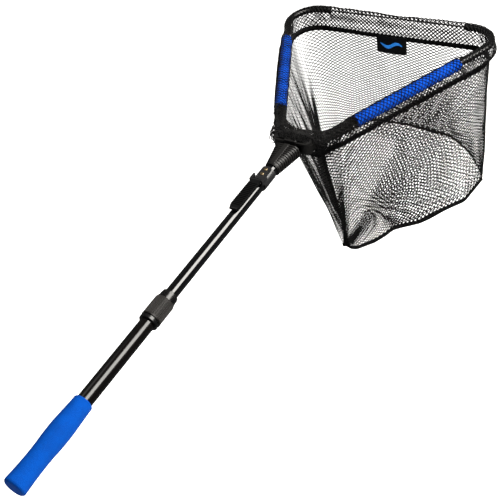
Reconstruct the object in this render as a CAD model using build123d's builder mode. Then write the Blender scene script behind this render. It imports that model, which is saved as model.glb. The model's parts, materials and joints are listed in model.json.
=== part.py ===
from build123d import *
import math
import os

os.makedirs("parts", exist_ok=True)

# Row frame: origin at the butt of the grip, +X along the pole, +Y to the left arm, +Z on the clip side.

# Clearances
fixed_gap = 0.05
running_gap = 0.06
slide_gap = 0.5

# Pole
outer_tube_r = 12.0
inner_tube_r = 10.3
tube_wall = 1.2
outer_tube_start = 4.0
outer_tube_end = 318.0
inner_tube_start = 240.0
inner_tube_end = 712.0
grip_length = 148.0

# Twist collar
collar_start = 309.0
collar_nut_length = 37.0
collar_nose_length = 16.0
collar_r = 15.6
collar_rib_count = 34

# Belt clip
saddle_start = 631.0
saddle_length = 35.0
saddle_r = 12.5
clip_tip_x = 552.0
clip_pin_x = 628.0
clip_pin_z = 14.5
clip_pin_r = 1.5
clip_half_width = 10.0

# Yoke and hoop head
yoke_start = 675.0
yoke_end = 732.0
yoke_rib_count = 11
fold_pin_x = 734.0
fold_pin_z = -13.0
fold_pin_r = 2.5
pivot_x = 750.0
pivot_y = 26.0
pivot_pin_r = 3.0
lug_half_height = 5.8
plate_gap = 6.3

# Hoop
arm_root_x = 730.0
arm_root_y = 22.0
arm_angle = 26.0
front_x = 1183.0
bend_r = 50.0
tip_y = 150.0
arm_tube_r = 5.5
sleeve_r = 6.25
float_r = 11.2
float_start = 122.0
float_end = 367.0
socket_r = 7.5
socket_start = 39.0
socket_end = 62.0

# Bag
bag_top_z = -13.0
bag_floor_z = -405.0
bag_wall = 1.6
bag_apex_x = 888.0
rim_tape_top_z = -41.0
rim_tape_width = 9.0

arm_cos = math.cos(math.radians(arm_angle))
arm_sin = math.sin(math.radians(arm_angle))


# Grip: one foam moulding, closed over the end of the tube
with BuildPart() as foam_grip:
    with BuildSketch(Plane.XY):
        with BuildLine():
            Line((0, 0), (0, 13.2))
            ThreePointArc((0, 13.2), (1.3, 16.0), (4.6, 17.15))
            Spline(
                (4.6, 17.15),
                (15, 16.6),
                (25, 16.1),
                (35, 15.8),
                (47, 15.65),
                (58, 15.8),
                (66, 16.1),
                (76, 16.75),
                (87, 17.05),
                (97, 17.15),
                (108, 16.75),
                (119, 16.2),
                (130, 15.6),
                (144, 14.95),
            )
            ThreePointArc((144, 14.95), (147.1, 14.3), (grip_length, 12.9))
            Line((grip_length, 12.9), (grip_length, outer_tube_r + fixed_gap))
            Line((grip_length, outer_tube_r + fixed_gap), (3.9, outer_tube_r + fixed_gap))
            Line((3.9, outer_tube_r + fixed_gap), (3.9, 0))
            Line((3.9, 0), (0, 0))
        make_face()
    revolve(axis=Axis.X)
foam_grip.part.label = "foam_grip"
export_step(foam_grip.part, "parts/foam_grip.step")

# Outer tube
with BuildPart() as outer_tube:
    with BuildSketch(Plane.YZ.offset(outer_tube_start)):
        Circle(outer_tube_r)
        Circle(outer_tube_r - tube_wall, mode=Mode.SUBTRACT)
    extrude(amount=outer_tube_end - outer_tube_start)
outer_tube.part.label = "outer_tube"
export_step(outer_tube.part, "parts/outer_tube.step")

# Plug that closes the tube under the foam
with BuildPart() as butt_cap:
    with BuildSketch(Plane.YZ.offset(outer_tube_start + 0.5)):
        Circle(outer_tube_r - tube_wall - fixed_gap)
    extrude(amount=14)
    with BuildSketch(Plane.YZ.offset(outer_tube_start + 6)):
        Circle(7.5)
    extrude(amount=12, mode=Mode.SUBTRACT)
butt_cap.part.label = "butt_cap"
export_step(butt_cap.part, "parts/butt_cap.step")

# Fixed ring that the twist collar turns against
with BuildPart() as collar_seat:
    with BuildSketch(Plane.YZ.offset(collar_start - 8)):
        Circle(collar_r)
    extrude(amount=7.6)
    chamfer(collar_seat.edges().filter_by(GeomType.CIRCLE), length=1.2)
    with BuildSketch(Plane.YZ.offset(collar_start - 10)):
        Circle(outer_tube_r + fixed_gap)
    extrude(amount=12, mode=Mode.SUBTRACT)
collar_seat.part.label = "collar_seat"
export_step(collar_seat.part, "parts/collar_seat.step")

# Ribbed nut of the twist collar
with BuildPart() as twist_collar:
    with BuildSketch(Plane.YZ.offset(collar_start)):
        Circle(collar_r - 0.5)
        with PolarLocations(collar_r - 0.4, collar_rib_count):
            Circle(0.95)
    extrude(amount=collar_nut_length)
    with BuildSketch(Plane.YZ.offset(collar_start)):
        Circle(collar_r + 0.7)
        Circle(collar_r - 0.8, mode=Mode.SUBTRACT)
    extrude(amount=2.2)
    with BuildSketch(Plane.YZ.offset(collar_start - 1)):
        Circle(outer_tube_r + 0.35)
    extrude(amount=12, mode=Mode.SUBTRACT)
    with BuildSketch(Plane.YZ.offset(collar_start + 10)):
        Circle(inner_tube_r + slide_gap)
    extrude(amount=collar_nut_length, mode=Mode.SUBTRACT)
twist_collar.part.label = "twist_collar"
export_step(twist_collar.part, "parts/twist_collar.step")

# Tapered nose of the twist collar, with square notches round its mouth
nose_start = collar_start + collar_nut_length
nose_end = nose_start + collar_nose_length
with BuildPart() as collar_nose:
    with BuildSketch(Plane.XY):
        with BuildLine():
            Polyline(
                (nose_start + fixed_gap, inner_tube_r + slide_gap),
                (nose_start + fixed_gap, 14.8),
                (nose_start + 3, 14.8),
                (nose_start + 3.4, 14.3),
                (nose_end - 1, 13.4),
                (nose_end, 12.4),
                (nose_end, inner_tube_r + slide_gap),
                close=True,
            )
        make_face()
    revolve(axis=Axis.X)
    with BuildSketch(Plane.YZ.offset(nose_end - 6)):
        with PolarLocations(14.2, 12):
            Rectangle(2.4, 3.2)
    extrude(amount=8, mode=Mode.SUBTRACT)
collar_nose.part.label = "collar_nose"
export_step(collar_nose.part, "parts/collar_nose.step")

# Inner tube
with BuildPart() as inner_tube:
    with BuildSketch(Plane.YZ.offset(inner_tube_start)):
        Circle(inner_tube_r)
        Circle(inner_tube_r - tube_wall, mode=Mode.SUBTRACT)
    extrude(amount=inner_tube_end - inner_tube_start)
inner_tube.part.label = "inner_tube"
export_step(inner_tube.part, "parts/inner_tube.step")

# Expanding plug at the hidden end of the inner tube
with BuildPart() as lock_expander:
    with BuildSketch(Plane.YZ.offset(inner_tube_start - 9)):
        Circle(inner_tube_r + 0.1)
    extrude(amount=8.9)
    with BuildSketch(Plane.YZ.offset(inner_tube_start - 0.5)):
        Circle(inner_tube_r - tube_wall - fixed_gap)
    extrude(amount=22)
    with BuildSketch(Plane.YZ.offset(inner_tube_start - 10)):
        Circle(4)
    extrude(amount=40, mode=Mode.SUBTRACT)
lock_expander.part.label = "lock_expander"
export_step(lock_expander.part, "parts/lock_expander.step")

# Saddle of the belt clip, with a pad for the rivets and two ears for the hinge pin
with BuildPart() as clip_saddle:
    with BuildSketch(Plane.YZ.offset(saddle_start)):
        Circle(saddle_r)
    extrude(amount=saddle_length)
    fillet(clip_saddle.edges().filter_by(GeomType.CIRCLE), radius=0.8)
    with BuildSketch(Plane.XY.offset(8)):
        with Locations((saddle_start + saddle_length / 2, 0)):
            RectangleRounded(saddle_length - 2, 16, 4)
    extrude(amount=6.5)
    with BuildSketch(Plane.XY.offset(8)):
        with Locations((saddle_start + 1, 11.25), (saddle_start + 1, -11.25)):
            RectangleRounded(16, 3.5, 1)
    extrude(amount=9.8)
    with BuildSketch(Plane.YZ.offset(saddle_start - 10)):
        Circle(inner_tube_r + fixed_gap)
    extrude(amount=saddle_length + 20, mode=Mode.SUBTRACT)
    with BuildSketch(Plane.XY.offset(9)):
        with Locations((saddle_start + 14, 0), (saddle_start + 26, 0)):
            Circle(2.2 + fixed_gap)
    extrude(amount=8, mode=Mode.SUBTRACT)
    with BuildSketch(Plane.XZ.offset(-20)):
        with Locations((clip_pin_x, clip_pin_z)):
            Circle(clip_pin_r + 0.03)
    extrude(amount=40, mode=Mode.SUBTRACT)
clip_saddle.part.label = "clip_saddle"
export_step(clip_saddle.part, "parts/clip_saddle.step")

# Two rivets through the saddle's pad
with BuildPart() as clip_rivets:
    with BuildSketch(Plane.XY.offset(10.5)):
        with Locations((saddle_start + 14, 0), (saddle_start + 26, 0)):
            Circle(2.2)
    extrude(amount=4.1)
    with BuildSketch(Plane.XY.offset(14.55)):
        with Locations((saddle_start + 14, 0), (saddle_start + 26, 0)):
            Circle(3.6)
    extrude(amount=1.3)
    fillet(clip_rivets.edges().group_by(Axis.Z)[-1], radius=0.9)
clip_rivets.part.label = "clip_rivets"
export_step(clip_rivets.part, "parts/clip_rivets.step")

# Hinge pin of the clip
with BuildPart() as clip_pin:
    with BuildSketch(Plane.XZ.offset(-13.4)):
        with Locations((clip_pin_x, clip_pin_z)):
            Circle(clip_pin_r)
    extrude(amount=26.8)
clip_pin.part.label = "clip_pin"
export_step(clip_pin.part, "parts/clip_pin.step")

# Clip lever: a ribbed plate with a barrel at the hinge and a round bar at its tip
with BuildPart() as clip_lever:
    with BuildSketch(Plane.XY.offset(13.8)):
        with BuildLine():
            Polyline(
                (clip_tip_x, -7.5),
                (clip_tip_x + 8, -clip_half_width),
                (clip_pin_x - 9, -clip_half_width),
                (clip_pin_x - 6, -9),
                (clip_pin_x, -9),
                (clip_pin_x, 9),
                (clip_pin_x - 6, 9),
                (clip_pin_x - 9, clip_half_width),
                (clip_tip_x + 8, clip_half_width),
                (clip_tip_x, 7.5),
                close=True,
            )
        make_face()
    extrude(amount=3.0)
    with BuildSketch(Plane.XY.offset(16.6)):
        with GridLocations(4.2, 0, 14, 1):
            with Locations((clip_tip_x + 37, 0)):
                RectangleRounded(2.0, 17, 0.7)
    extrude(amount=1.3)
    with BuildSketch(Plane.XY.offset(13.8)):
        with GridLocations(4.2, 2 * clip_half_width, 14, 2):
            with Locations((clip_tip_x + 37, 0)):
                Circle(0.9)
    extrude(amount=3.0)
    with BuildSketch(Plane.XZ.offset(-9)):
        with Locations((clip_pin_x, clip_pin_z)):
            Circle(3.3)
    extrude(amount=18)
    with BuildSketch(Plane.XZ.offset(-7)):
        with Locations((clip_tip_x + 0.5, clip_pin_z)):
            Circle(2.7)
    extrude(amount=14)
    with BuildSketch(Plane.XZ.offset(-20)):
        with Locations((clip_pin_x, clip_pin_z)):
            Circle(clip_pin_r + running_gap)
    extrude(amount=40, mode=Mode.SUBTRACT)
clip_lever.part.label = "clip_lever"
export_step(clip_lever.part, "parts/clip_lever.step")

# Yoke: a flaring socket with ribs round it and a raised spine
with BuildPart() as yoke:
    with BuildSketch(Plane.YZ.offset(yoke_start)):
        RectangleRounded(25, 25, 12.3)
    with BuildSketch(Plane.YZ.offset(yoke_end)):
        RectangleRounded(45, 23.5, 9)
    loft()
    for number in range(yoke_rib_count):
        share = (number + 0.5) / yoke_rib_count
        with BuildSketch(Plane.YZ.offset(yoke_start + share * (yoke_end - yoke_start) - 1.2)):
            RectangleRounded(27 + 21 * share, 26.4, 12.6 - 3 * share)
        extrude(amount=2.4)
    with BuildSketch(Plane.YZ.offset(yoke_start + 4)):
        RectangleRounded(10, 26.8, 1.5)
    extrude(amount=yoke_end - yoke_start - 4)
    with BuildSketch(Plane.XZ.offset(-14)):
        with Locations((fold_pin_x, fold_pin_z)):
            Circle(5.3)
    extrude(amount=28)
    with BuildSketch(Plane.YZ.offset(yoke_start - 1)):
        Circle(inner_tube_r + fixed_gap)
    extrude(amount=inner_tube_end - yoke_start + 1.2, mode=Mode.SUBTRACT)
    with Locations((fold_pin_x - 3, 0, -19)):
        Box(20, 17, 23.6, mode=Mode.SUBTRACT)
    with BuildSketch(Plane.XZ.offset(-20)):
        with Locations((fold_pin_x, fold_pin_z)):
            Circle(fold_pin_r + 0.03)
    extrude(amount=40, mode=Mode.SUBTRACT)
yoke.part.label = "yoke"
export_step(yoke.part, "parts/yoke.step")

# Pin that the hoop head folds on
with BuildPart() as fold_pin:
    with BuildSketch(Plane.XZ.offset(-14.8)):
        with Locations((fold_pin_x, fold_pin_z)):
            Circle(fold_pin_r)
    extrude(amount=29.6)
fold_pin.part.label = "fold_pin"
export_step(fold_pin.part, "parts/fold_pin.step")

# Hoop head: a web with a barrel on the fold pin and two plates that hold the arms
with BuildPart() as head_block:
    with BuildSketch(Plane.XY.offset(-12)):
        with Locations((754, 0)):
            RectangleRounded(28, 24, 3)
    extrude(amount=26)
    fillet(head_block.edges().group_by(Axis.Z)[-1], radius=1.5)
    with BuildSketch(Plane.XY.offset(plate_gap)):
        with Locations((pivot_x + 1.5, 0)):
            SlotCenterToCenter(2 * pivot_y, 22, rotation=90)
    extrude(amount=4.7)
    with BuildSketch(Plane.XY.offset(-plate_gap - 4.7)):
        with Locations((pivot_x + 1.5, 0)):
            SlotCenterToCenter(2 * pivot_y, 22, rotation=90)
    extrude(amount=4.7)
    with BuildSketch(Plane.XZ.offset(-8)):
        with Locations((fold_pin_x, fold_pin_z)):
            Circle(5)
        with Locations((fold_pin_x + 6, fold_pin_z)):
            Rectangle(12, 6)
    extrude(amount=16)
    with BuildSketch(Plane.XY.offset(-20)):
        with Locations((pivot_x, pivot_y), (pivot_x, -pivot_y)):
            Circle(pivot_pin_r + 0.03)
    extrude(amount=40, mode=Mode.SUBTRACT)
    with BuildSketch(Plane.XZ.offset(-20)):
        with Locations((fold_pin_x, fold_pin_z)):
            Circle(fold_pin_r + running_gap)
    extrude(amount=40, mode=Mode.SUBTRACT)
head_block.part.label = "head_block"
export_step(head_block.part, "parts/head_block.step")

# The two arms, each with its pivot pin, knuckle, tube, float, corner sleeve and tip plug
for side, side_name in ((1, "left"), (-1, "right")):
    along = Vector(arm_cos, side * arm_sin, 0)
    root = Vector(arm_root_x, side * arm_root_y, 0)
    bend_start = (front_x - arm_root_x) / arm_cos - bend_r * math.tan(math.radians((90 + arm_angle) / 2))

    with BuildPart() as pivot_pin:
        with BuildSketch(Plane.XY.offset(-11.05)):
            with Locations((pivot_x, side * pivot_y)):
                Circle(pivot_pin_r)
        extrude(amount=22.1)
        with BuildSketch(Plane.XY.offset(11.05), Plane.XY.offset(-12.45)):
            with Locations((pivot_x, side * pivot_y)):
                Circle(5.2)
        extrude(amount=1.4)
    pivot_pin.part.label = side_name + "_pivot_pin"
    export_step(pivot_pin.part, "parts/" + side_name + "_pivot_pin.step")

    with BuildPart() as knuckle:
        with BuildSketch(Plane.XY.offset(-lug_half_height)):
            with Locations((pivot_x, side * pivot_y)):
                Circle(10)
        extrude(amount=2 * lug_half_height)
        with BuildSketch(Plane(origin=root + along * 20, x_dir=(0, 0, 1), z_dir=along)):
            Rectangle(2 * lug_half_height, 11)
        extrude(amount=22)
        with BuildSketch(Plane(origin=root + along * socket_start, z_dir=along)):
            Circle(socket_r)
        extrude(amount=socket_end - socket_start)
        with BuildSketch(Plane(origin=root + along * (socket_start + 5), z_dir=along)):
            Circle(arm_tube_r + fixed_gap)
        extrude(amount=socket_end, mode=Mode.SUBTRACT)
        with BuildSketch(Plane.XY.offset(-10)):
            with Locations((pivot_x, side * pivot_y)):
                Circle(pivot_pin_r + running_gap)
        extrude(amount=20, mode=Mode.SUBTRACT)
    knuckle.part.label = side_name + "_knuckle"
    export_step(knuckle.part, "parts/" + side_name + "_knuckle.step")

    with BuildPart() as arm_tube:
        with BuildLine() as tube_line:
            straight = Line(root + along * (socket_start + 5.2), root + along * bend_start)
            bend = JernArc(straight @ 1, straight % 1, bend_r, -side * (90 + arm_angle))
            Line(bend @ 1, (front_x, side * tip_y, 0))
        with BuildSketch(Plane(origin=straight @ 0, z_dir=along)):
            Circle(arm_tube_r)
            Circle(arm_tube_r - tube_wall, mode=Mode.SUBTRACT)
        sweep(path=tube_line.line)
    arm_tube.part.label = side_name + "_arm_tube"
    export_step(arm_tube.part, "parts/" + side_name + "_arm_tube.step")

    with BuildPart() as foam_float:
        with BuildSketch(Plane(origin=root + along * float_start, z_dir=along)):
            Circle(float_r)
        extrude(amount=float_end - float_start)
        far_edge = foam_float.edges().filter_by(GeomType.CIRCLE).sort_by(Axis.X)[-1]
        fillet(far_edge, radius=6)
        hub_edge = foam_float.edges().filter_by(GeomType.CIRCLE).sort_by(Axis.X)[0]
        fillet(hub_edge, radius=1.5)
        with BuildSketch(Plane(origin=root + along * (float_start - 5), z_dir=along)):
            Circle(arm_tube_r + fixed_gap)
        extrude(amount=float_end, mode=Mode.SUBTRACT)
    foam_float.part.label = side_name + "_float"
    export_step(foam_float.part, "parts/" + side_name + "_float.step")

    with BuildPart() as corner_sleeve:
        with BuildLine() as sleeve_line:
            straight = Line(root + along * (float_end + 4), root + along * bend_start)
            bend = JernArc(straight @ 1, straight % 1, bend_r, -side * (90 + arm_angle))
            Line(bend @ 1, (front_x, side * (tip_y + 0.2), 0))
        with BuildSketch(Plane(origin=straight @ 0, z_dir=along)):
            Circle(sleeve_r)
            Circle(arm_tube_r + fixed_gap, mode=Mode.SUBTRACT)
        sweep(path=sleeve_line.line)
    corner_sleeve.part.label = side_name + "_corner_sleeve"
    export_step(corner_sleeve.part, "parts/" + side_name + "_corner_sleeve.step")

    with BuildPart() as tip_plug:
        with BuildSketch(Plane(origin=(front_x, side * (tip_y - 0.05), 0), z_dir=(0, -side, 0))):
            Circle(sleeve_r)
        extrude(amount=5)
        fillet(tip_plug.edges().filter_by(GeomType.CIRCLE).sort_by(Axis.Y)[0 if side == 1 else -1], radius=2.5)
        with BuildSketch(Plane(origin=(front_x, side * (tip_y + 10), 0), z_dir=(0, -side, 0))):
            Circle(arm_tube_r - tube_wall - fixed_gap)
        extrude(amount=10.2)
        with BuildSketch(Plane(origin=(front_x, side * (tip_y + 1), 0), z_dir=(0, -side, 0))):
            Circle(2)
        extrude(amount=10, mode=Mode.SUBTRACT)
    tip_plug.part.label = side_name + "_tip_plug"
    export_step(tip_plug.part, "parts/" + side_name + "_tip_plug.step")

# Cord across the front of the hoop, from tip to tip
with BuildPart() as front_cord:
    with BuildSketch(Plane.XZ.offset(-tip_y)):
        with Locations((front_x, 0)):
            Circle(1.5)
    extrude(amount=2 * tip_y)
front_cord.part.label = "front_cord"
export_step(front_cord.part, "parts/front_cord.step")

# Bag: outlines of its mouth and floor, and the arch that lifts the front of the floor
half_mouth = [(774, 34), (1108, 198), (1158, 203), (1182, 163)]
half_floor = [(884, 3), (1196, 183), (1204, 187), (1209, 184)]
half_arch = [(0, 120), (88, 115), (150, 68), (188, -1)]


def closed_outline(half):
    """Both halves of an outline that is symmetric about the pole."""
    return half + [(x, -y) for x, y in reversed(half)]


def bag_form(inset):
    """The bag's outer form, moved in by the inset on every wall."""
    with BuildPart() as form:
        with BuildSketch(Plane.XY.offset(bag_floor_z + inset)):
            with BuildLine():
                Polyline(*closed_outline(half_floor), close=True)
            make_face()
            if inset > 0:
                offset(amount=-inset, kind=Kind.INTERSECTION)
        with BuildSketch(Plane.XY.offset(bag_top_z)):
            with BuildLine():
                Polyline(*closed_outline(half_mouth), close=True)
            make_face()
            if inset > 0:
                offset(amount=-inset, kind=Kind.INTERSECTION)
        loft(ruled=True)
    with BuildPart() as arch:
        for x, scale in ((bag_apex_x, 0.01), (bag_apex_x + 347, 1.082)):
            right = [(-y * scale - inset, bag_floor_z + z * scale + inset) for y, z in reversed(half_arch)]
            left = [(y * scale + inset, bag_floor_z + z * scale + inset) for y, z in half_arch[1:]]
            foot = [(188 * scale + inset, bag_floor_z - 20), (-188 * scale - inset, bag_floor_z - 20)]
            right[-1] = (0, right[-1][1])
            with BuildSketch(Plane.YZ.offset(x)):
                with BuildLine():
                    Polyline(*right, *left, *foot, close=True)
                make_face()
        loft(ruled=True)
    return form.part - arch.part


with BuildPart() as net_bag:
    add(bag_form(0))
    add(bag_form(bag_wall), mode=Mode.SUBTRACT)
net_bag.part.label = "net_bag"
export_step(net_bag.part, "parts/net_bag.step")

# Tape sewn round the inside of the bag below its mouth
with BuildPart() as rim_tape:
    add(bag_form(bag_wall + 0.2))
    add(bag_form(bag_wall + 1.3), mode=Mode.SUBTRACT)
    with Locations((1000, 0, rim_tape_top_z - rim_tape_width / 2)):
        Box(600, 500, rim_tape_width, mode=Mode.INTERSECT)
rim_tape.part.label = "rim_tape"
export_step(rim_tape.part, "parts/rim_tape.step")

# Label sewn to the front of the tape
with BuildPart() as label_patch:
    with Locations((front_x - 4.6, 8, -59)):
        Box(1, 66, 38)
label_patch.part.label = "label_patch"
export_step(label_patch.part, "parts/label_patch.step")
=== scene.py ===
# %% [markdown]
# # Folding landing net
#
# A landing net lifts a fish out of the water without hurting it. This one has a telescopic pole with a
# foam grip, a belt clip, a hoop whose two arms swing together, and a deep bag of open mesh. The steps
# below give each piece its look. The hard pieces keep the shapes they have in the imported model, and the
# soft ones are knitted, sewn and hung here as real strands and tapes.

# %% Folding landing net
import json
import math

import bpy
from mathutils import Matrix, Vector, noise

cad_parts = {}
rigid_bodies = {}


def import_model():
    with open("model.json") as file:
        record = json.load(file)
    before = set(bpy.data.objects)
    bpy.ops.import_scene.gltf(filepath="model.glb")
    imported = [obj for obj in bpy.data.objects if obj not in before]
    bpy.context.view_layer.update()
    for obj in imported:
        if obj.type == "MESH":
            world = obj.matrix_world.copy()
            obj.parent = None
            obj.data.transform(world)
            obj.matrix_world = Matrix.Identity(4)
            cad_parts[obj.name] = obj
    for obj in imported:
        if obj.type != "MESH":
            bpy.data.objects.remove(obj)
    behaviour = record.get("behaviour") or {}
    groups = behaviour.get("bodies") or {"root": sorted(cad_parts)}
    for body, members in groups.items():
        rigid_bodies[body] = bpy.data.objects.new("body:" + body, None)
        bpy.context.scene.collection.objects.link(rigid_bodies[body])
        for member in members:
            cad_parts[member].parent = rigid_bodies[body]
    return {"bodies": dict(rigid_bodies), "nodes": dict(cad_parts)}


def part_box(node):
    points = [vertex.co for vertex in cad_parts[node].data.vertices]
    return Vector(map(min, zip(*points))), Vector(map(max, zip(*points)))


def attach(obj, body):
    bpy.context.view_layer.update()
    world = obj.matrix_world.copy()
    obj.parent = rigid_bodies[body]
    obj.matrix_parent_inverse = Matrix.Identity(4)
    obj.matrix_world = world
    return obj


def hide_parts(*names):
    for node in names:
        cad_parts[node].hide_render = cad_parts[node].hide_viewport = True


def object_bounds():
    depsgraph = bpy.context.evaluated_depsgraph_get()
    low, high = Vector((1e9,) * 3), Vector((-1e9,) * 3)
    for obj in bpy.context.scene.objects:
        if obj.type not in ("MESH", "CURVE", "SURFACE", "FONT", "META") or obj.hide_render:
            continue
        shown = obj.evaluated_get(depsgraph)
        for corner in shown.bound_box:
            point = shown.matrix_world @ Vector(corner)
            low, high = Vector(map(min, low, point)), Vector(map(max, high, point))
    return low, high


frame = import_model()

cad_low, cad_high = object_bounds()
print("packed model from", [round(c, 3) for c in cad_low], "to", [round(c, 3) for c in cad_high])

# %% [markdown]
# ## Camera
#
# The net is seen from behind the grip, from the right and from above, so that the pole runs away from
# the viewer and the mouth of the bag opens towards them. The camera is made first, so that every later
# piece can be judged from the same place. It is rolled a little, as a camera held over a long object is.

# %% Camera
right = Vector((0.516, -0.836, -0.185)).normalized()
up = Vector((0.655, 0.247, 0.714))
back = right.cross(up).normalized()
up = back.cross(right)
camera_data = bpy.data.cameras.new("camera")
camera_data.lens = 62.6
camera_data.shift_x = 0.044
camera_data.shift_y = 0.007
camera_data.clip_end = 20
camera = bpy.data.objects.new("camera", camera_data)
turn = Matrix((right, up, back)).transposed().to_4x4()
camera.matrix_world = Matrix.Translation((-0.273, -0.697, 0.911)) @ turn
bpy.context.scene.collection.objects.link(camera)
bpy.context.scene.camera = camera
print("camera at", [round(c, 2) for c in camera.matrix_world.translation])

# %% [markdown]
# ## Studio
#
# Black lacquer looks black only where it has something dark to mirror. The studio round the net is
# therefore dim, and the pale floor and the backdrop glow by themselves. The standard view shows whites and
# blues as they are given.

# %% Studio
studio_light = 0.14
world = bpy.data.worlds.new("studio")
world.use_nodes = True
world.node_tree.nodes["Background"].inputs["Color"].default_value = (0.97, 0.98, 1.0, 1.0)
world.node_tree.nodes["Background"].inputs["Strength"].default_value = studio_light
bpy.context.scene.world = world
bpy.context.scene.view_settings.view_transform = "Standard"
print("studio light", studio_light)

# %% [markdown]
# ## Floor
#
# A pale floor well below the bag keeps the background plain and the net's shadow on it faint. It glows a
# little, and it is left out of reflections, where it would turn the black tubes grey.

# %% Floor
floor_mesh = bpy.data.meshes.new("floor")
floor_z = cad_low[2] - 0.55
floor_corners = [(-9, -9, floor_z), (11, -9, floor_z), (11, 11, floor_z), (-9, 11, floor_z)]
floor_mesh.from_pydata(floor_corners, [], [(0, 1, 2, 3)])
floor = bpy.data.objects.new("floor", floor_mesh)
bpy.context.scene.collection.objects.link(floor)
floor_white = bpy.data.materials.new("floor_white")
floor_white.use_nodes = True
floor_shader = floor_white.node_tree.nodes["Principled BSDF"]
floor_shader.inputs["Base Color"].default_value = (0.92, 0.92, 0.92, 1)
floor_shader.inputs["Roughness"].default_value = 0.95
floor_shader.inputs["Specular IOR Level"].default_value = 0.1
floor_shader.inputs["Emission Color"].default_value = (1, 1, 1, 1)
floor_shader.inputs["Emission Strength"].default_value = 0.78
floor_mesh.materials.append(floor_white)
floor.visible_glossy = False
print("floor at", round(floor_z, 3))

# %% [markdown]
# ## Backdrop
#
# Seen from low down, the floor ends at a horizon with the dim studio above it. A large white ball round
# the scene hides that. It throws neither light nor shadow on the net, and it is left out of reflections.

# %% Backdrop
bpy.ops.mesh.primitive_ico_sphere_add(subdivisions=4, radius=9, location=(0.6, 0, 0))
backdrop = bpy.context.object
backdrop.name = "backdrop"
backdrop_white = bpy.data.materials.new("backdrop_white")
backdrop_white.use_nodes = True
backdrop_shader = backdrop_white.node_tree.nodes["Principled BSDF"]
backdrop_shader.inputs["Base Color"].default_value = (0, 0, 0, 1)
backdrop_shader.inputs["Emission Color"].default_value = (1, 1, 1, 1)
backdrop_shader.inputs["Emission Strength"].default_value = 1.0
backdrop.data.materials.append(backdrop_white)
backdrop.visible_glossy = False
backdrop.visible_diffuse = False
backdrop.visible_shadow = False
print("backdrop", round(backdrop.dimensions.x), "m across")

# %% [markdown]
# ## Lamps
#
# A long lamp over the pole gives its tubes one streak, and two weaker lamps lift the shadows. An area lamp
# shines along its own -Z, so it is turned until that axis meets its target.


# %% Lamps
def lamp(name, place, target, size, watts, color):
    """A rectangular area lamp that faces a target, with its long side along the pole."""
    data = bpy.data.lights.new(name, "AREA")
    data.shape = "RECTANGLE"
    data.size, data.size_y = size
    data.energy = watts
    data.color = color
    away = (Vector(place) - Vector(target)).normalized()
    along = (Vector((1, 0, 0)) - away * away.x).normalized()
    lamp_object = bpy.data.objects.new(name, data)
    facing = Matrix((along, away.cross(along), away)).transposed().to_4x4()
    lamp_object.matrix_world = Matrix.Translation(place) @ facing
    bpy.context.scene.collection.objects.link(lamp_object)


lamp(
    "strip_lamp",
    place=(1.15, -1.10, 1.40),
    target=(0.4, 0, 0),
    size=(1.8, 1.3),
    watts=160,
    color=(1.0, 0.97, 0.92),
)
lamp(
    "top_lamp",
    place=(0.5, 1.2, 2.2),
    target=(0.6, 0, 0),
    size=(1.6, 1.2),
    watts=10,
    color=(1.0, 0.99, 0.97),
)
lamp(
    "side_lamp",
    place=(-0.9, -1.6, 0.7),
    target=(0.6, 0, -0.1),
    size=(0.8, 0.8),
    watts=6,
    color=(0.97, 0.98, 1.0),
)
print("lamps:", [data.name for data in bpy.data.lights])

# %% [markdown]
# ## Surface effects
#
# Three effects are shared by many materials, so each is a node group with named inputs: a fine grain for
# moulded plastic and paint, open pores for foam, and the over-and-under of woven tape. Each material
# places the group with its own values.


# %% Surface effects
def empty_group(name, inputs, outputs):
    """A shader node group with float or colour inputs, {name: default}, and outputs, {name: kind}."""
    group = bpy.data.node_groups.new(name, "ShaderNodeTree")
    for label, default in inputs.items():
        kind = "NodeSocketColor" if isinstance(default, tuple) else "NodeSocketFloat"
        socket = group.interface.new_socket(label, in_out="INPUT", socket_type=kind)
        socket.default_value = default
    for label, kind in outputs.items():
        group.interface.new_socket(label, in_out="OUTPUT", socket_type=kind)
    return group, group.nodes.new("NodeGroupInput"), group.nodes.new("NodeGroupOutput")


def finish_group(group, given, result, height):
    """Mixes two colours and two roughnesses by a height, and turns the height into a normal."""
    link = group.links.new
    mix = group.nodes.new("ShaderNodeMix")
    mix.data_type = "RGBA"
    link(height, mix.inputs["Factor"])
    link(given.outputs["Low Color"], mix.inputs["A"])
    link(given.outputs["High Color"], mix.inputs["B"])
    link(mix.outputs["Result"], result.inputs["Color"])
    rough = group.nodes.new("ShaderNodeMix")
    link(height, rough.inputs["Factor"])
    link(given.outputs["Low Roughness"], rough.inputs["A"])
    link(given.outputs["High Roughness"], rough.inputs["B"])
    link(rough.outputs["Result"], result.inputs["Roughness"])
    bump = group.nodes.new("ShaderNodeBump")
    bump.inputs["Distance"].default_value = 0.001
    link(given.outputs["Bump"], bump.inputs["Strength"])
    link(height, bump.inputs["Height"])
    link(bump.outputs["Normal"], result.inputs["Normal"])


group_inputs = {
    "Low Color": (0.0, 0.0, 0.0, 1.0),
    "High Color": (0.1, 0.1, 0.1, 1.0),
    "Low Roughness": 0.4,
    "High Roughness": 0.5,
    "Scale": 400.0,
    "Bump": 0.2,
}
group_outputs = {"Color": "NodeSocketColor", "Roughness": "NodeSocketFloat", "Normal": "NodeSocketVector"}
print("every effect has the inputs", list(group_inputs))

# %% [markdown]
# ## Fine grain
#
# Moulded plastic, paint and thread are all a little uneven. One noise, scaled by the material, mottles the
# colour and the roughness and feeds the bump.

# %% Fine grain
grain, given, result = empty_group("fine_grain", group_inputs, group_outputs)
place = grain.nodes.new("ShaderNodeTexCoord")
fine = grain.nodes.new("ShaderNodeTexNoise")
fine.inputs["Detail"].default_value = 6
grain.links.new(place.outputs["Object"], fine.inputs["Vector"])
grain.links.new(given.outputs["Scale"], fine.inputs["Scale"])
finish_group(grain, given, result, fine.outputs["Fac"])
print("node group:", grain.name)

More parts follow.
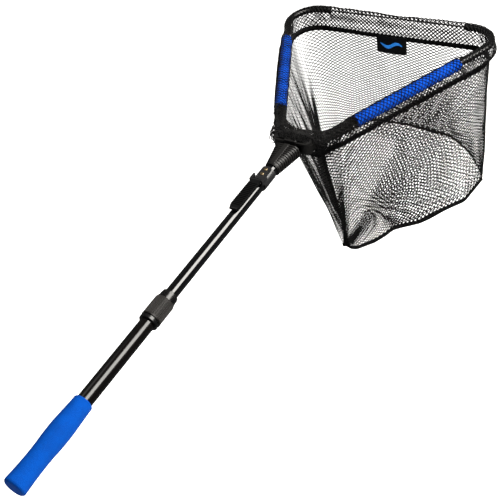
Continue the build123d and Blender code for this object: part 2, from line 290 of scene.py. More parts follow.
# %% [markdown]
# ## Foam pores
#
# Cut foam shows the walls of its bubbles. Voronoi cells make the bubbles, and a slow noise added to them
# keeps the surface from looking printed.

# %% Foam pores
pores, given, result = empty_group("foam_pores", group_inputs, group_outputs)
place = pores.nodes.new("ShaderNodeTexCoord")
cells = pores.nodes.new("ShaderNodeTexVoronoi")
blotch = pores.nodes.new("ShaderNodeTexNoise")
blotch.inputs["Scale"].default_value = 60
blotch.inputs["Detail"].default_value = 4
both = pores.nodes.new("ShaderNodeMath")
both.operation = "MULTIPLY_ADD"
both.inputs[1].default_value = 0.6
pores.links.new(place.outputs["Object"], cells.inputs["Vector"])
pores.links.new(given.outputs["Scale"], cells.inputs["Scale"])
pores.links.new(place.outputs["Object"], blotch.inputs["Vector"])
pores.links.new(cells.outputs["Distance"], both.inputs[0])
pores.links.new(blotch.outputs["Fac"], both.inputs[2])
finish_group(pores, given, result, both.outputs["Value"])
print("node group:", pores.name)

# %% [markdown]
# ## Woven tape
#
# In a weave the yarns of one direction pass over and under those of the other. Two sets of waves at right
# angles, multiplied, give raised spots where the yarns cross.

# %% Woven tape
weave, given, result = empty_group("woven", group_inputs, group_outputs)
place = weave.nodes.new("ShaderNodeTexCoord")
both = weave.nodes.new("ShaderNodeMath")
both.operation = "MULTIPLY"
for number, direction in enumerate(("Z", "Y")):
    yarn = weave.nodes.new("ShaderNodeTexWave")
    yarn.bands_direction = direction
    yarn.inputs["Distortion"].default_value = 0.6
    weave.links.new(place.outputs["Object"], yarn.inputs["Vector"])
    weave.links.new(given.outputs["Scale"], yarn.inputs["Scale"])
    weave.links.new(yarn.outputs["Fac"], both.inputs[number])
finish_group(weave, given, result, both.outputs["Value"])
print("node group:", weave.name)

# %% [markdown]
# ## A material from an effect
#
# Every finish is the same shader with one of the effects placed in it, so a helper makes them all. Values
# that are the same all over the surface, such as the specular level, go straight on the shader.


# %% A material from an effect
def material(name, group, low, high, roughness, scale, bump, **shader):
    """A Principled material whose colour, roughness and normal come from a shared group."""
    new = bpy.data.materials.new(name)
    new.use_nodes = True
    nodes = new.node_tree.nodes
    principled = nodes["Principled BSDF"]
    effect = nodes.new("ShaderNodeGroup")
    effect.node_tree = group
    effect.inputs["Low Color"].default_value = (*low, 1)
    effect.inputs["High Color"].default_value = (*high, 1)
    effect.inputs["Low Roughness"].default_value = roughness[0]
    effect.inputs["High Roughness"].default_value = roughness[1]
    effect.inputs["Scale"].default_value = scale
    effect.inputs["Bump"].default_value = bump
    for label, socket in (("Color", "Base Color"), ("Roughness", "Roughness"), ("Normal", "Normal")):
        new.node_tree.links.new(effect.outputs[label], principled.inputs[socket])
    for socket, value in shader.items():
        principled.inputs[socket.replace("_", " ")].default_value = value
    return new


def paint(node_names, new):
    """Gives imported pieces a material."""
    for node_name in node_names:
        for material_slot in frame["nodes"][node_name].material_slots:
            material_slot.material = new


print("effects to choose from:", [group.name for group in (grain, pores, weave)])

# %% [markdown]
# ## Grip and floats
#
# Both are closed-cell foam. A grip like this is a foam tube slid over the metal and ground to a waist and
# a belly for the hand. Foam is matt, with tiny cut pores, so it gets the pore group in two close blues.

# %% Grip and floats
grip_foam = material(
    "grip_foam",
    pores,
    low=(0.0, 0.023, 0.14),
    high=(0.0, 0.042, 0.245),
    roughness=(0.7, 0.9),
    scale=900,
    bump=0.3,
    Specular_IOR_Level=0.05,
)
float_foam = material(
    "float_foam",
    pores,
    low=(0.0, 0.020, 0.16),
    high=(0.0, 0.036, 0.27),
    roughness=(0.65, 0.85),
    scale=800,
    bump=0.3,
    Specular_IOR_Level=0.05,
)
paint(["foam_grip"], grip_foam)
paint(["left_float", "right_float"], float_foam)
print("foam on the grip and both floats")

# %% [markdown]
# ## Tubes
#
# The pole's tubes are anodised and lacquered black. The lacquer is smooth, so its roughness is low and the
# streak of the lamp runs the whole length. The hoop's tubes are a little duller.

# %% Tubes
outer_lacquer = material(
    "outer_lacquer",
    grain,
    low=(0.0006, 0.0004, 0.0003),
    high=(0.0014, 0.0010, 0.0008),
    roughness=(0.15, 0.20),
    scale=300,
    bump=0.0,
    Specular_IOR_Level=0.28,
)
inner_lacquer = material(
    "inner_lacquer",
    grain,
    low=(0.0004, 0.0004, 0.0005),
    high=(0.0010, 0.0011, 0.0013),
    roughness=(0.09, 0.13),
    scale=300,
    bump=0.0,
    Specular_IOR_Level=0.42,
)
arm_lacquer = material(
    "arm_lacquer",
    grain,
    low=(0.001, 0.001, 0.001),
    high=(0.003, 0.003, 0.003),
    roughness=(0.28, 0.4),
    scale=500,
    bump=0.05,
    Specular_IOR_Level=0.25,
)
paint(["outer_tube"], outer_lacquer)
paint(["inner_tube"], inner_lacquer)
paint(["left_arm_tube", "right_arm_tube"], arm_lacquer)
print("lacquer on four tubes")

# %% [markdown]
# ## Moulded plastic
#
# The collar, the clip, the yoke, the hoop head and the knuckles are injection moulded. The collar is a
# warm charcoal between two black rings, the saddle is a little lighter, and the lever and the yoke are
# nearly black. The grain group gives each the slight mottle of a textured mould.

# %% Moulded plastic
collar_plastic = material(
    "collar_plastic",
    grain,
    low=(0.0024, 0.0018, 0.0015),
    high=(0.0050, 0.0039, 0.0033),
    roughness=(0.40, 0.55),
    scale=700,
    bump=0.04,
    Specular_IOR_Level=0.18,
)
ring_plastic = material(
    "ring_plastic",
    grain,
    low=(0.0006, 0.0006, 0.0006),
    high=(0.0016, 0.0016, 0.0018),
    roughness=(0.2, 0.32),
    scale=500,
    bump=0.02,
    Specular_IOR_Level=0.3,
)
saddle_plastic = material(
    "saddle_plastic",
    grain,
    low=(0.0035, 0.0035, 0.0038),
    high=(0.0075, 0.0075, 0.0080),
    roughness=(0.3, 0.42),
    scale=500,
    bump=0.04,
)
lever_plastic = material(
    "lever_plastic",
    grain,
    low=(0.0006, 0.0006, 0.0006),
    high=(0.0016, 0.0016, 0.0018),
    roughness=(0.25, 0.36),
    scale=500,
    bump=0.04,
    Specular_IOR_Level=0.3,
)
yoke_plastic = material(
    "yoke_plastic",
    grain,
    low=(0.0012, 0.0011, 0.0010),
    high=(0.0035, 0.0031, 0.0027),
    roughness=(0.42, 0.56),
    scale=600,
    bump=0.06,
    Specular_IOR_Level=0.3,
)
sleeve_plastic = material(
    "sleeve_plastic",
    grain,
    low=(0.0006, 0.0006, 0.0008),
    high=(0.0018, 0.0018, 0.0020),
    roughness=(0.22, 0.34),
    scale=500,
    bump=0.05,
    Specular_IOR_Level=0.3,
)
paint(["twist_collar", "butt_cap", "lock_expander"], collar_plastic)
paint(["collar_seat", "collar_nose"], ring_plastic)
paint(["clip_saddle"], saddle_plastic)
paint(["clip_lever"], lever_plastic)
paint(["yoke", "head_block", "left_knuckle", "right_knuckle"], yoke_plastic)
paint(["left_corner_sleeve", "right_corner_sleeve", "left_tip_plug", "right_tip_plug"], sleeve_plastic)
print("six plastics")

# %% [markdown]
# ## Rivets and pins
#
# The rivets are brass gone dull, and the pins are blackened steel. Both are metal, so their colour is in
# the reflection, and the grain only changes how sharp it is.

# %% Rivets and pins
rivet_brass = material(
    "rivet_brass",
    grain,
    low=(0.16, 0.12, 0.07),
    high=(0.30, 0.23, 0.13),
    roughness=(0.3, 0.45),
    scale=900,
    bump=0.1,
    Metallic=1.0,
)
pin_steel = material(
    "pin_steel",
    grain,
    low=(0.03, 0.03, 0.03),
    high=(0.08, 0.08, 0.08),
    roughness=(0.3, 0.45),
    scale=900,
    bump=0.08,
    Metallic=1.0,
)
paint(["clip_rivets"], rivet_brass)
paint(["clip_pin", "fold_pin", "left_pivot_pin", "right_pivot_pin"], pin_steel)
print("brass and steel")

# %% [markdown]
# ## The hoop's line
#
# The net hangs from the hoop, so its shape starts from the hoop's own line: out along each arm, round the
# corner and across the front. The front cord's box gives the front. The arms' root, their slope and the
# radius of the corner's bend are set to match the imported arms.

# %% The hoop's line
cord_low, cord_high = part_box("front_cord")
front_x = (cord_low[0] + cord_high[0]) / 2
tip_y = cord_high[1]
arm_angle = math.radians(26)
arm_root = Vector((0.730, 0.022, 0))
arm_way = Vector((math.cos(arm_angle), math.sin(arm_angle), 0))
bend_radius = 0.050
bend_turn = math.pi / 2 + arm_angle
bend_start = (front_x - arm_root.x) / arm_way.x - bend_radius * math.tan(bend_turn / 2)
bend_centre = arm_root + arm_way * bend_start + Vector((arm_way.y, -arm_way.x, 0)) * bend_radius


def bend_point(share):
    """A point of the corner's bend, from the arm at 0 to the front at 1."""
    angle = bend_turn - share * bend_turn
    return bend_centre + Vector((math.cos(angle), math.sin(angle), 0)) * bend_radius


def walk(points, share):
    """The point a share of the way along a list of points."""
    lengths = [(b - a).length for a, b in zip(points, points[1:])]
    left = share * sum(lengths)
    for start, stop, length in zip(points, points[1:], lengths):
        if left <= length:
            return start.lerp(stop, left / length)
        left -= length
    return points[-1].copy()


print("front at", round(front_x, 3))
print("bend starts", round(bend_start, 3), "m along the arm, round", [round(c, 3) for c in bend_centre])

# %% [markdown]
# ## The bag's edges
#
# The bag is sewn from a wall and a floor. The wall starts at the hoop and ends at the floor's edge, which
# comes to a blunt point behind, sags along each side, has a corner under each end of the hoop, and rises
# in an arch across the front. Both edges are given for the left half and mirrored. The floor's edge then
# hangs a fifth wider on the left.

# %% The bag's edges
apex = Vector((0.886, 0, -0.372))
floor_corner = Vector((1.198, 0.181, -0.386))
floor_side = [
    apex,
    Vector((0.888, 0.009, -0.378)),
    Vector((0.903, 0.014, -0.391)),
    Vector((0.948, 0.034, -0.405)),
    Vector((0.993, 0.060, -0.397)),
    Vector((1.045, 0.091, -0.416)),
    Vector((1.100, 0.124, -0.417)),
    Vector((1.155, 0.157, -0.421)),
    Vector((1.178, 0.170, -0.402)),
    floor_corner,
]
arch_points = [
    floor_corner,
    Vector((1.206, 0.170, -0.366)),
    Vector((1.209, 0.146, -0.326)),
    Vector((1.211, 0.105, -0.295)),
    Vector((1.211, 0.050, -0.288)),
    Vector((1.211, 0, -0.284)),
]
rim_side = [Vector((0.797, 0.0, -0.026)), Vector((0.797, 0.020, -0.022)), Vector((0.801, 0.036, -0.010))]
rim_side += [arm_root + arm_way * (0.085 + 0.339 * step / 8) for step in range(9)]
rim_side += [bend_point(share) for share in (0.15, 0.3, 0.45)]
rim_front = [bend_point(share) for share in (0.45, 0.6, 0.8, 1.0)]
rim_front += [Vector((front_x, tip_y, 0)), Vector((front_x, 0, 0))]
side_share = 0.69
left_spread = 1.20
print("points of one half along the hoop:", len(rim_side + rim_front))
print("points of one half along the floor's edge:", len(floor_side + arch_points))

# %% [markdown]
# ## The bag's surface
#
# A point of the wall is given by how far round it lies and how far down, and a point of the floor by how
# far across and how far forward. The right side hangs a little hollow and the left side stands off
# outwards. Knitted mesh is never flat, so slow and fine folds are added away from the hoop.

# %% The bag's surface
bag_middle_x = 1.04
right_hollow = 0.010
left_stand_off = 0.015
slow_fold = 0.004
fine_fold = 0.0012
floor_wave = 0.006
floor_sag = 0.004


def clamp(value):
    """A value held between 0 and 1."""
    return min(1, max(0, value))


def half_point(side_points, front_points, share):
    """A point of one half of a loop: its side first, then its front."""
    if share < side_share:
        return walk(side_points, share / side_share)
    return walk(front_points, (share - side_share) / (1 - side_share))


def mirrored(point, round_share):
    """The left half as it is and the right half mirrored."""
    return point if round_share <= 0.5 else Vector((point.x, -point.y, point.z))


def floor_spread(point):
    """The floor's edge, which hangs wider on the left than on the right."""
    return Vector((point.x, point.y * left_spread, point.z)) if point.y > 0 else point


def side_hollow(share, depth, on_left):
    """How far a side of the wall hangs in. The left side stands off, so its hollow is below zero."""
    if on_left and share < side_share:
        off_apex = clamp(share * 8 - 0.8)
        off_corner = min(1, (side_share - share) * 6)
        return -left_stand_off * min(1, depth * 10) * (1 - depth) * off_apex * off_corner
    corner = math.exp(-(((share - side_share) / 0.09) ** 2)) + math.exp(-((share / 0.08) ** 2))
    return right_hollow * math.sin(math.pi * depth) * (1 - min(1, corner))


def wall_point(round_share, depth, inwards=0.0):
    """A point of the bag's wall, from the hoop at depth 0 to the floor's edge at depth 1."""
    round_share = round_share % 1.0
    on_left = round_share <= 0.5
    share = 2 * round_share if on_left else 2 - 2 * round_share
    top = half_point(rim_side, rim_front, share)
    bottom = half_point(floor_side, arch_points, share)
    point = mirrored(top, round_share).lerp(floor_spread(mirrored(bottom, round_share)), depth)
    outwards = (point - Vector((bag_middle_x, 0, point.z))).normalized()
    slow = noise.noise(Vector((round_share * 26, depth * 2.0, 3)))
    fine = noise.noise(Vector((round_share * 80, depth * 6, 8)))
    fold = slow * slow_fold * min(1, depth * 2.5) * (1 - depth) ** 0.3
    fold += fine * fine_fold * min(1, depth * 3)
    return point + outwards * (fold - side_hollow(share, depth, on_left) - inwards)


def floor_point(across, along):
    """A point of the bag's floor: across from right to left, along from the apex to the arch."""
    share = abs(2 * across - 1)
    arch = walk(arch_points[::-1], share)
    edge = walk(floor_side, along)
    straight = apex.lerp(floor_corner, along)
    point = apex.lerp(arch, along) + (edge - straight) * share**3
    point.y = math.copysign(point.y, across - 0.5)
    uneven = noise.noise(Vector((point.x * 22, point.y * 22, 5)))
    wave = uneven * floor_wave * math.sin(math.pi * along)
    return floor_spread(point) + Vector((0, 0, wave - floor_sag * math.sin(math.pi * along) * (1 - share)))


for depth in (0, 1):
    print("left side of the wall at depth", depth, [round(c, 3) for c in wall_point(0.25, depth)])

# %% [markdown]
# ## How the soft pieces follow the hoop
#
# The bag hangs from both arms and from the head, so no single body carries it. Its points carry a weight:
# nothing on the centre line, one at an arm. A modifier turns each point with its arm by that weight. When
# the hoop folds under the pole, the bag falls through it and hangs on the other side, so the modifier also
# scales the bag's depth by the cosine of the fold, read from the pole's body.


# %% How the soft pieces follow the hoop
def follow_group():
    """A geometry node group that moves points with the two arms and drops them through a folded hoop."""
    group = bpy.data.node_groups.new("follow_hoop", "GeometryNodeTree")
    group.interface.new_socket("Geometry", in_out="INPUT", socket_type="NodeSocketGeometry")
    group.interface.new_socket("Geometry", in_out="OUTPUT", socket_type="NodeSocketGeometry")
    link = group.links.new
    given = group.nodes.new("NodeGroupInput")
    result = group.nodes.new("NodeGroupOutput")
    here = group.nodes.new("GeometryNodeInputPosition")

    def body_info(body_name):
        """The place of a body, seen from the piece."""
        info = group.nodes.new("GeometryNodeObjectInfo")
        info.transform_space = "RELATIVE"
        info.inputs["Object"].default_value = frame["bodies"][body_name]
        return info

    pole = body_info("inner_pole")
    steady = group.nodes.new("FunctionNodeRotateVector")
    steady.inputs["Vector"].default_value = (0, 0, 1)
    link(pole.outputs["Rotation"], steady.inputs["Rotation"])
    cosine = group.nodes.new("ShaderNodeSeparateXYZ")
    link(steady.outputs["Vector"], cosine.inputs["Vector"])
    parts = group.nodes.new("ShaderNodeSeparateXYZ")
    link(here.outputs["Position"], parts.inputs["Vector"])
    depth = group.nodes.new("ShaderNodeMath")
    depth.operation = "MULTIPLY"
    link(parts.outputs["Z"], depth.inputs[0])
    link(cosine.outputs["Z"], depth.inputs[1])
    fallen = group.nodes.new("ShaderNodeCombineXYZ")
    link(parts.outputs["X"], fallen.inputs["X"])
    link(parts.outputs["Y"], fallen.inputs["Y"])
    link(depth.outputs["Value"], fallen.inputs["Z"])
    place = fallen.outputs["Vector"]
    for body_name in ("left_arm", "right_arm"):
        arm = body_info(body_name)
        moved = group.nodes.new("FunctionNodeTransformPoint")
        link(place, moved.inputs["Vector"])
        link(arm.outputs["Transform"], moved.inputs["Transform"])
        weight = group.nodes.new("GeometryNodeInputNamedAttribute")
        weight.data_type = "FLOAT"
        weight.inputs["Name"].default_value = body_name
        blend = group.nodes.new("ShaderNodeMix")
        blend.data_type = "VECTOR"
        link(weight.outputs["Attribute"], blend.inputs["Factor"])
        link(place, blend.inputs["A"])
        link(moved.outputs["Vector"], blend.inputs["B"])
        place = blend.outputs["Result"]
    move = group.nodes.new("GeometryNodeSetPosition")
    link(given.outputs["Geometry"], move.inputs["Geometry"])
    link(place, move.inputs["Position"])
    link(move.outputs["Geometry"], result.inputs["Geometry"])
    return group


follow = follow_group()

arm_pocket = 0.016


def arm_weight(point):
    """0 on the centre line and 1 from the inside of an arm's pocket outwards."""
    reach = min(arm_root.y + (point.x - arm_root.x) * math.tan(arm_angle), tip_y)
    share = min(1.0, abs(point.y) / max(0.02, reach - arm_pocket))
    return share * share * (3 - 2 * share) if share < 1 else 1.0


def hang(piece):
    """Makes a soft piece ride on the hoop head and follow both arms."""
    for body_name, sign in (("left_arm", 1), ("right_arm", -1)):
        weights = piece.data.attributes.new(body_name, "FLOAT", "POINT")
        values = [arm_weight(v.co) if v.co.y * sign > 0 else 0.0 for v in piece.data.vertices]
        weights.data.foreach_set("value", values)
    modifier = piece.modifiers.new("follow_hoop", "NODES")
    modifier.node_group = follow
    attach(piece, "hoop_head")


print("follow group with", len(follow.nodes), "nodes")

# %% [markdown]
# ## Knitted mesh
#
# Landing nets use knotless mesh: yarns that cross at every corner of a diamond. A diamond grid is laid
# over the surface first. Every second point of a fine grid is a crossing, and the cells between them are
# the holes.


# %% Knitted mesh
def diamond_net(name, point_at, columns, rows, closed, finish):
    """A net of yarns over a surface point_at(across, along), both from 0 to 1."""
    wide = columns if closed else columns + 1
    index = {}
    points = []
    for row in range(rows + 1):
        for column in range(wide):
            if (row + column) % 2 == 0:
                index[column, row] = len(points)
                points.append(point_at(column / columns, row / rows))
    faces = []
    for row in range(rows + 1):
        for column in range(wide):
            if (row + column) % 2 == 1:
                around = [(column - 1, row), (column, row - 1), (column + 1, row), (column, row + 1)]
                if closed:
                    around = [(c % columns, r) for c, r in around]
                corners = [index[key] for key in around if key in index]
                if len(corners) > 2:
                    faces.append(corners)
    mesh = bpy.data.meshes.new(name)
    mesh.from_pydata(points, [], faces)
    mesh.materials.append(finish)
    piece = bpy.data.objects.new(name, mesh)
    bpy.context.scene.collection.objects.link(piece)
    return piece


print("a net is made from a surface, in columns and rows")

# %% [markdown]
# ## Yarns
#
# A wireframe modifier leaves only the strands of the grid, each a solid yarn, and turns the grid's open
# edges into an edge yarn. The yarn is as thick as the net asks for across the front, and has a thickness
# of its own on the right and on the left side, where the wall is seen nearly edge-on and thick yarns
# would close it. It is also thinner near the bag's point and over the right corner, where the cells crowd.

# %% Yarns
front_edge = 0.004
apex_crowd = 0.13
rear_x = 0.90
right_corner = (1.185, -0.185)
corner_crowd = 0.07


def yarn_share(point, yarn, right_yarn, left_yarn):
    """How thick the yarn is at a point, as a share of the net's thickest yarn."""
    behind = clamp((front_x - front_edge - point.x) / 0.02)
    leftness = clamp((point.y + 0.004) / 0.014)
    side_yarn = right_yarn + leftness * (left_yarn - right_yarn)
    crowding = max(0, 1 - (point - apex).length / apex_crowd)
    rearness = leftness * clamp((rear_x - point.x) / 0.06)
    share = (1 - behind + behind * side_yarn / yarn) * (1 - 0.62 * crowding) * (1 - 0.3 * rearness)
    at_corner = math.hypot(point.x - right_corner[0], point.y - right_corner[1]) / corner_crowd
    return share * (1 - 0.3 * math.exp(-at_corner * at_corner))


def make_yarns(piece, yarn, right_yarn, left_yarn):
    """Leaves only the strands of a net, as solid yarns."""
    strength = piece.vertex_groups.new(name="yarn_strength")
    for vertex in piece.data.vertices:
        strength.add([vertex.index], yarn_share(vertex.co, yarn, right_yarn, left_yarn), "REPLACE")
    strands = piece.modifiers.new("yarns", "WIREFRAME")
    strands.thickness = yarn
    strands.vertex_group = "yarn_strength"
    strands.use_even_offset = False
    strands.use_boundary = True


print("yarns thin out within", apex_crowd, "m of the bag's point")

# %% [markdown]
# ## Wall and floor
#
# The wall's net starts below the mouth's tape and closes round the bag. The floor's net is an open sheet
# whose edge lies on the wall's foot.

# %% Wall and floor
tape_drop = 0.043


def mouth_depth(round_share):
    """How deep the mouth's tape lies, as a share of the wall's height there."""
    height = (wall_point(round_share, 1) - wall_point(round_share, 0)).length
    return tape_drop / height


def wall_below_tape(across, down):
    """The wall from the mouth's tape to the floor's edge."""
    start = mouth_depth(across)
    return wall_point(across, start + (1 - start) * down)


net_yarn = material(
    "net_yarn",
    grain,
    low=(0.0004, 0.0004, 0.0004),
    high=(0.0014, 0.0014, 0.0015),
    roughness=(0.6, 0.8),
    scale=1500,
    bump=0.3,
    Specular_IOR_Level=0.15,
)
bag_wall = diamond_net("bag_wall", wall_below_tape, 220, 72, True, net_yarn)
hang(bag_wall)
make_yarns(bag_wall, 0.0026, 0.0026, 0.0012)
bag_floor = diamond_net("bag_floor", floor_point, 70, 70, False, net_yarn)
hang(bag_floor)
make_yarns(bag_floor, 0.0030, 0.0030, 0.0016)
wall_area = sum(cell.area for cell in bag_wall.data.polygons)
floor_area = sum(cell.area for cell in bag_floor.data.polygons)
print("bag:", round(wall_area, 3), "square metres of net in the wall,", round(floor_area, 3), "in the floor")

# %% [markdown]
# ## The pocket round the hoop
#
# The top of the net is folded over the whole hoop and sewn down to the tape, so the hoop lies in a long
# pocket, floats and all. Seen across, the pocket is a drop: two layers rise from the tape, one outside
# and one inside, and meet over the tube. It is stretched tight over the floats, and stands up loose
# above the thin cord at the front.


# %% The pocket round the hoop
def pocket_radius(centre):
    """How far the pocket stands off the hoop's centre line, (sideways, upwards)."""
    if abs(centre.y) < tip_y and centre.x > front_x - 0.02:
        return 0.0045, 0.0095 - 0.0035 * math.exp(-((centre.y / 0.05) ** 2))
    distance = (centre.x - arm_root.x) / arm_way.x
    over_float = clamp((distance - 0.112) / 0.012) * clamp((0.380 - distance) / 0.016)
    size = 0.0080 + 0.0042 * math.sqrt(over_float)
    return size, size


def pocket_point(around, over):
    """Around goes along the hoop; over goes from the tape up outside and down inside."""
    round_share = around % 1.0
    share = 2 * round_share if round_share <= 0.5 else 2 - 2 * round_share
    centre = mirrored(half_point(rim_side, rim_front, share), round_share)
    tape_point = wall_point(round_share, mouth_depth(round_share))
    before = mirrored(half_point(rim_side, rim_front, max(0, share - 0.01)), round_share)
    after = mirrored(half_point(rim_side, rim_front, min(1, share + 0.01)), round_share)
    way = (after - before).normalized()
    out = way.cross(Vector((0, 0, 1))).normalized()
    out = out if out.dot(centre - Vector((bag_middle_x, 0, 0))) > 0 else -out
    wide, high = pocket_radius(centre)
    slack = noise.noise(Vector((round_share * 60, over * 3, 4))) * 0.0012
    drop_line = [tape_point + out * 0.001, tape_point.lerp(centre, 0.45) + out * (wide + 0.004)]
    for step in range(9):
        angle = math.radians(-25 + 230 * step / 8)
        rise = Vector((0, 0, (high + slack) * math.sin(angle)))
        drop_line.append(centre + out * (wide + slack) * math.cos(angle) + rise)
    drop_line.append(tape_point - out * 0.001)
    return walk(drop_line, over)


hoop_pocket = diamond_net("hoop_pocket", pocket_point, 320, 26, True, net_yarn)
hang(hoop_pocket)
make_yarns(hoop_pocket, 0.0026, 0.0019, 0.0014)
print("pocket:", len(hoop_pocket.data.polygons), "cells")

# %% [markdown]
# ## Bunched net at the knuckles
#
# Between a float and its knuckle the pocket has nothing to stretch it, and bunches up on the tube in dense
# wrinkles. The same happens where the two arms meet: the spare net is gathered across the hoop head.


# %% Bunched net at the knuckles
spare_yarn = 0.0018
wrinkle_high = 0.0042


def bunch(name, centre_points, radius, layer_count, body_name):
    """Layers of wrinkled net along a line. With no body, the net follows both arms."""
    layers = []
    for layer in range(layer_count):

        def point_at(across, along, layer=layer):
            centre = walk(centre_points, along)
            ahead = walk(centre_points, min(1, along + 0.02))
            behind = walk(centre_points, max(0, along - 0.02))
            way = (ahead - behind).normalized()
            out = way.cross(Vector((0, 0, 1))).normalized()
            above = out.cross(way)
            angle = 2 * math.pi * across + along * (1.3 + layer)
            wrinkle = Vector((math.cos(angle) * 2.2, math.sin(angle) * 2.2, along * 9 + layer * 5))
            reach = radius(along) * (0.84 + 0.15 * layer) + wrinkle_high * noise.noise(wrinkle)
            return centre + (out * math.cos(angle) + above * math.sin(angle)) * reach

        piece = diamond_net(name + "_" + str(layer), point_at, 20, 26, True, net_yarn)
        if body_name:
            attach(piece, body_name)
        else:
            hang(piece)
        make_yarns(piece, spare_yarn, spare_yarn, spare_yarn)
        layers.append(piece)
    return layers


def arm_bunch_radius(along):
    """Wide over the knuckle, narrow on the tube, and wide again against the float."""
    return 0.0092 + 0.0048 * max(0, 1 - along * 2.8) + 0.0020 * max(0, along * 4 - 3)


def head_bunch_radius(along):
    """Nearly even, with a slow swell."""
    return 0.0135 + 0.001 * math.sin(9 * along)


bunches = []
for side, side_name in ((1, "left"), (-1, "right")):
    start = Vector((arm_root.x, side * arm_root.y, 0))
    way = Vector((arm_way.x, side * arm_way.y, 0))
    line = [start + way * 0.031, start + way * 0.123]
    bunches += bunch(side_name + "_arm_bunch", line, arm_bunch_radius, 2, side_name + "_arm")
head_line = [
    Vector((0.780, -0.048, -0.002)),
    Vector((0.779, -0.020, -0.004)),
    Vector((0.780, 0, -0.006)),
    Vector((0.779, 0.020, -0.004)),
    Vector((0.780, 0.048, -0.002)),
]
bunches += bunch("head_bunch", head_line, head_bunch_radius, 2, None)
print("bunched layers:", [piece.name for piece in bunches])

# %% [markdown]
# ## Net over the hoop head
#
# The last of the gathered net lies over the top of the hoop head and hides its two plates. It is open
# behind, so that it clears the yoke when the hoop folds, and narrow enough to clear the knuckles when an
# arm swings in.

# %% Net over the hoop head
head_x = 0.757
cover_reach = 0.0182
cover_half = 0.032


def head_cover_point(across, along, layer):
    """Across goes from arm to arm, along goes back over the top of the head."""
    angle = math.radians(48 + 82 * along)
    crease = noise.noise(Vector((across * 9, along * 5, 7 * layer)))
    reach = cover_reach + 0.0012 * layer + 0.0030 * crease - 0.006 * abs(2 * across - 1) ** 3
    y = -cover_half + 2 * cover_half * across
    return Vector((head_x + reach * math.cos(angle), y, -0.001 + reach * math.sin(angle)))


for layer in (0, 1):

    def cover_layer_point(across, along, layer=layer):
        return head_cover_point(across, along, layer)

    head_cover = diamond_net("head_cover_" + str(layer), cover_layer_point, 30, 12, False, net_yarn)
    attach(head_cover, "hoop_head")
    make_yarns(head_cover, spare_yarn, spare_yarn, spare_yarn)
print("two layers over the head")

# %% [markdown]
# ## Tapes
#
# Black tape is sewn over every edge of the panels: round the inside of the mouth, down the seam behind and
# along the floor's edge. A tape is a woven strip, so it is built as a band between two lines on the bag's
# surface and thickened. It stands just inside the net.

# %% Tapes
tape_cloth = material(
    "tape_cloth",
    weave,
    low=(0.0004, 0.0004, 0.0004),
    high=(0.0016, 0.0016, 0.0018),
    roughness=(0.6, 0.8),
    scale=420,
    bump=0.5,
    Specular_IOR_Level=0.15,
)
cloth_thick = 0.0009


def tape(name, edge_a, edge_b, count, closed):
    """A sewn band between two lines, each a function of the share along it."""
    points = []
    for step in range(count if closed else count + 1):
        first = edge_a(step / count)
        last = edge_b(step / count)
        points += [first, first.lerp(last, 0.5), last]
    total = len(points) // 3
    faces = []
    for step in range(total if closed else total - 1):
        a = 3 * step
        b = 3 * ((step + 1) % total)
        faces += [(a, b, b + 1, a + 1), (a + 1, b + 1, b + 2, a + 2)]
    mesh = bpy.data.meshes.new(name)
    mesh.from_pydata(points, [], faces)
    mesh.polygons.foreach_set("use_smooth", [True] * len(faces))
    mesh.materials.append(tape_cloth)
    piece = bpy.data.objects.new(name, mesh)
    bpy.context.scene.collection.objects.link(piece)
    hang(piece)
    thick = piece.modifiers.new("cloth", "SOLIDIFY")
    thick.thickness = cloth_thick
    thick.offset = 0
    return piece


print("tape", cloth_thick, "m thick")

# %% [markdown]
# ## The three tapes
#
# The rim tape closes the mouth below the hoop, the rear tape covers the seam behind, a little to the right
# of the middle, and the floor tape binds the wall to the floor.

# %% The three tapes
inside_net = 0.0015
seam_start = 0.016
seam_drift = 0.010
seam_half = 0.0032


def rim_tape_top(share):
    """The upper edge of the tape round the mouth."""
    return wall_point(share, mouth_depth(share) - 0.014, inside_net)


def rim_tape_foot(share):
    """The lower edge of the tape round the mouth."""
    return wall_point(share, mouth_depth(share) + 0.020, inside_net)


def seam_side(half):
    """One edge of the tape on the seam behind, from below the mouth to the bag's point."""
    return lambda share: wall_point(half - seam_start + seam_drift * share, 0.10 + 0.90 * share, 0.0012)


def floor_tape_top(share):
    """The upper edge of the tape round the floor."""
    return wall_point(share, 0.973, inside_net)


def floor_tape_foot(share):
    """The lower edge of the tape round the floor."""
    return wall_point(share, 1.0, -0.0005)


rim_band = tape("rim_band", rim_tape_top, rim_tape_foot, 220, True)
rear_band = tape("rear_band", seam_side(seam_half), seam_side(-seam_half), 60, False)
floor_band = tape("floor_band", floor_tape_top, floor_tape_foot, 240, True)
print("tapes:", [piece.name for piece in (rim_band, rear_band, floor_band)])

# %% [markdown]
# ## Front cord
#
# A thin cord closes the hoop between the arms' tips, pulled tight by their spring. It runs inside the
# net's pocket.


# %% Front cord
def tube_between(name, start, stop, radius, sides, count, finish):
    """A straight tube with closed ends, in short lengths so that it can bend."""
    way = (stop - start).normalized()
    across = way.cross(Vector((0, 0, 1))).normalized()
    above = across.cross(way)
    points = []
    for step in range(count + 1):
        centre = start.lerp(stop, step / count)
        for turn in range(sides):
            angle = 2 * math.pi * turn / sides
            points.append(centre + (across * math.cos(angle) + above * math.sin(angle)) * radius)
    faces = []
    for step in range(count):
        for turn in range(sides):
            a = step * sides + turn
            b = step * sides + (turn + 1) % sides
            faces.append((a, b, b + sides, a + sides))
    faces.append(tuple(range(sides))[::-1])
    faces.append(tuple(range(count * sides, (count + 1) * sides)))
    mesh = bpy.data.meshes.new(name)
    mesh.from_pydata(points, [], faces)
    mesh.polygons.foreach_set("use_smooth", [True] * len(faces))
    mesh.materials.append(finish)
    piece = bpy.data.objects.new(name, mesh)
    bpy.context.scene.collection.objects.link(piece)
    return piece


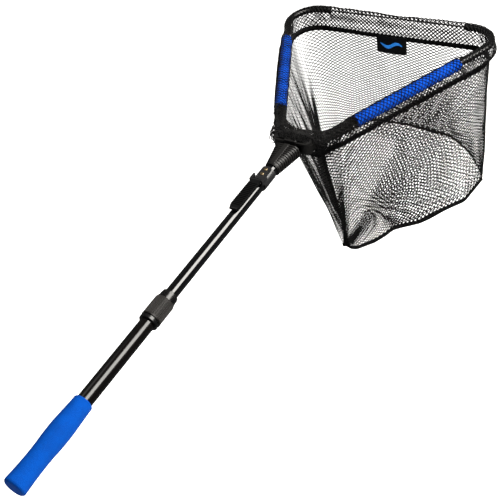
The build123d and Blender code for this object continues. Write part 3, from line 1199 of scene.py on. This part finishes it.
cord_braid = material(
    "cord_braid",
    weave,
    low=(0.001, 0.001, 0.001),
    high=(0.004, 0.004, 0.004),
    roughness=(0.5, 0.7),
    scale=900,
    bump=0.5,
)
cord_steps = 60
cord_start = Vector((front_x, -tip_y, 0))
cord_stop = Vector((front_x, tip_y, 0))
tip_cord = tube_between("tip_cord", cord_start, cord_stop, 0.0015, 12, cord_steps, cord_braid)
hang(tip_cord)
print("cord", round(2 * tip_y, 3), "m")

# %% [markdown]
# ## Label
#
# A black woven label hangs inside the front of the mouth, with a plain blue wave where a maker would put a
# name. The label is stiff cloth with a slight curl, and the mark is a raised thread patch on its face.

# %% Label
label_low, label_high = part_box("label_patch")


def label_point(across, up_share, proud=0.0):
    """A point of the label, with a slight curl."""
    y = label_low[1] + across * (label_high[1] - label_low[1])
    z = label_low[2] + up_share * (label_high[2] - label_low[2])
    curl = 0.002 * math.sin(math.pi * across) + 0.002 * (1 - up_share) ** 2
    return Vector((label_low[0] + 0.0005 - curl - proud, y, z))


def cloth_grid(name, point_at, columns, rows, thickness, finish):
    """A small piece of cloth over a surface."""
    points = [point_at(c / columns, r / rows) for r in range(rows + 1) for c in range(columns + 1)]
    faces = []
    for row in range(rows):
        for column in range(columns):
            a = row * (columns + 1) + column
            faces.append((a, a + 1, a + columns + 2, a + columns + 1))
    mesh = bpy.data.meshes.new(name)
    mesh.from_pydata(points, [], faces)
    mesh.polygons.foreach_set("use_smooth", [True] * len(faces))
    mesh.materials.append(finish)
    piece = bpy.data.objects.new(name, mesh)
    bpy.context.scene.collection.objects.link(piece)
    hang(piece)
    thick = piece.modifiers.new("cloth", "SOLIDIFY")
    thick.thickness = thickness
    thick.offset = 0
    return piece


def wave_point(across, up_share):
    """The mark: a band that swells in the middle and rises to one side."""
    height = 0.5 + 0.12 * math.sin(2.2 * math.pi * across)
    swell = 0.06 + 0.16 * math.sin(math.pi * across)
    return label_point(0.14 + 0.72 * across, height + (up_share - 0.5) * swell, 0.0009)


label_cloth = material(
    "label_cloth",
    weave,
    low=(0.0004, 0.0005, 0.0008),
    high=(0.0016, 0.0020, 0.0026),
    roughness=(0.5, 0.7),
    scale=700,
    bump=0.4,
    Specular_IOR_Level=0.15,
)
mark_thread = material(
    "mark_thread",
    weave,
    low=(0.0, 0.16, 0.62),
    high=(0.01, 0.28, 0.90),
    roughness=(0.4, 0.6),
    scale=900,
    bump=0.4,
)
label_piece = cloth_grid("label_piece", label_point, 16, 10, cloth_thick, label_cloth)
label_mark = cloth_grid("label_mark", wave_point, 24, 4, 0.0005, mark_thread)
print("label", round(label_high[1] - label_low[1], 3), "by", round(label_high[2] - label_low[2], 3))

# %% [markdown]
# ## What stands for what
#
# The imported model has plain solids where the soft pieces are. Each is replaced by the piece made here, and
# stays in the model for collision only.

# %% What stands for what
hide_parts("net_bag")
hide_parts("rim_tape")
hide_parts("label_patch")
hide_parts("front_cord")
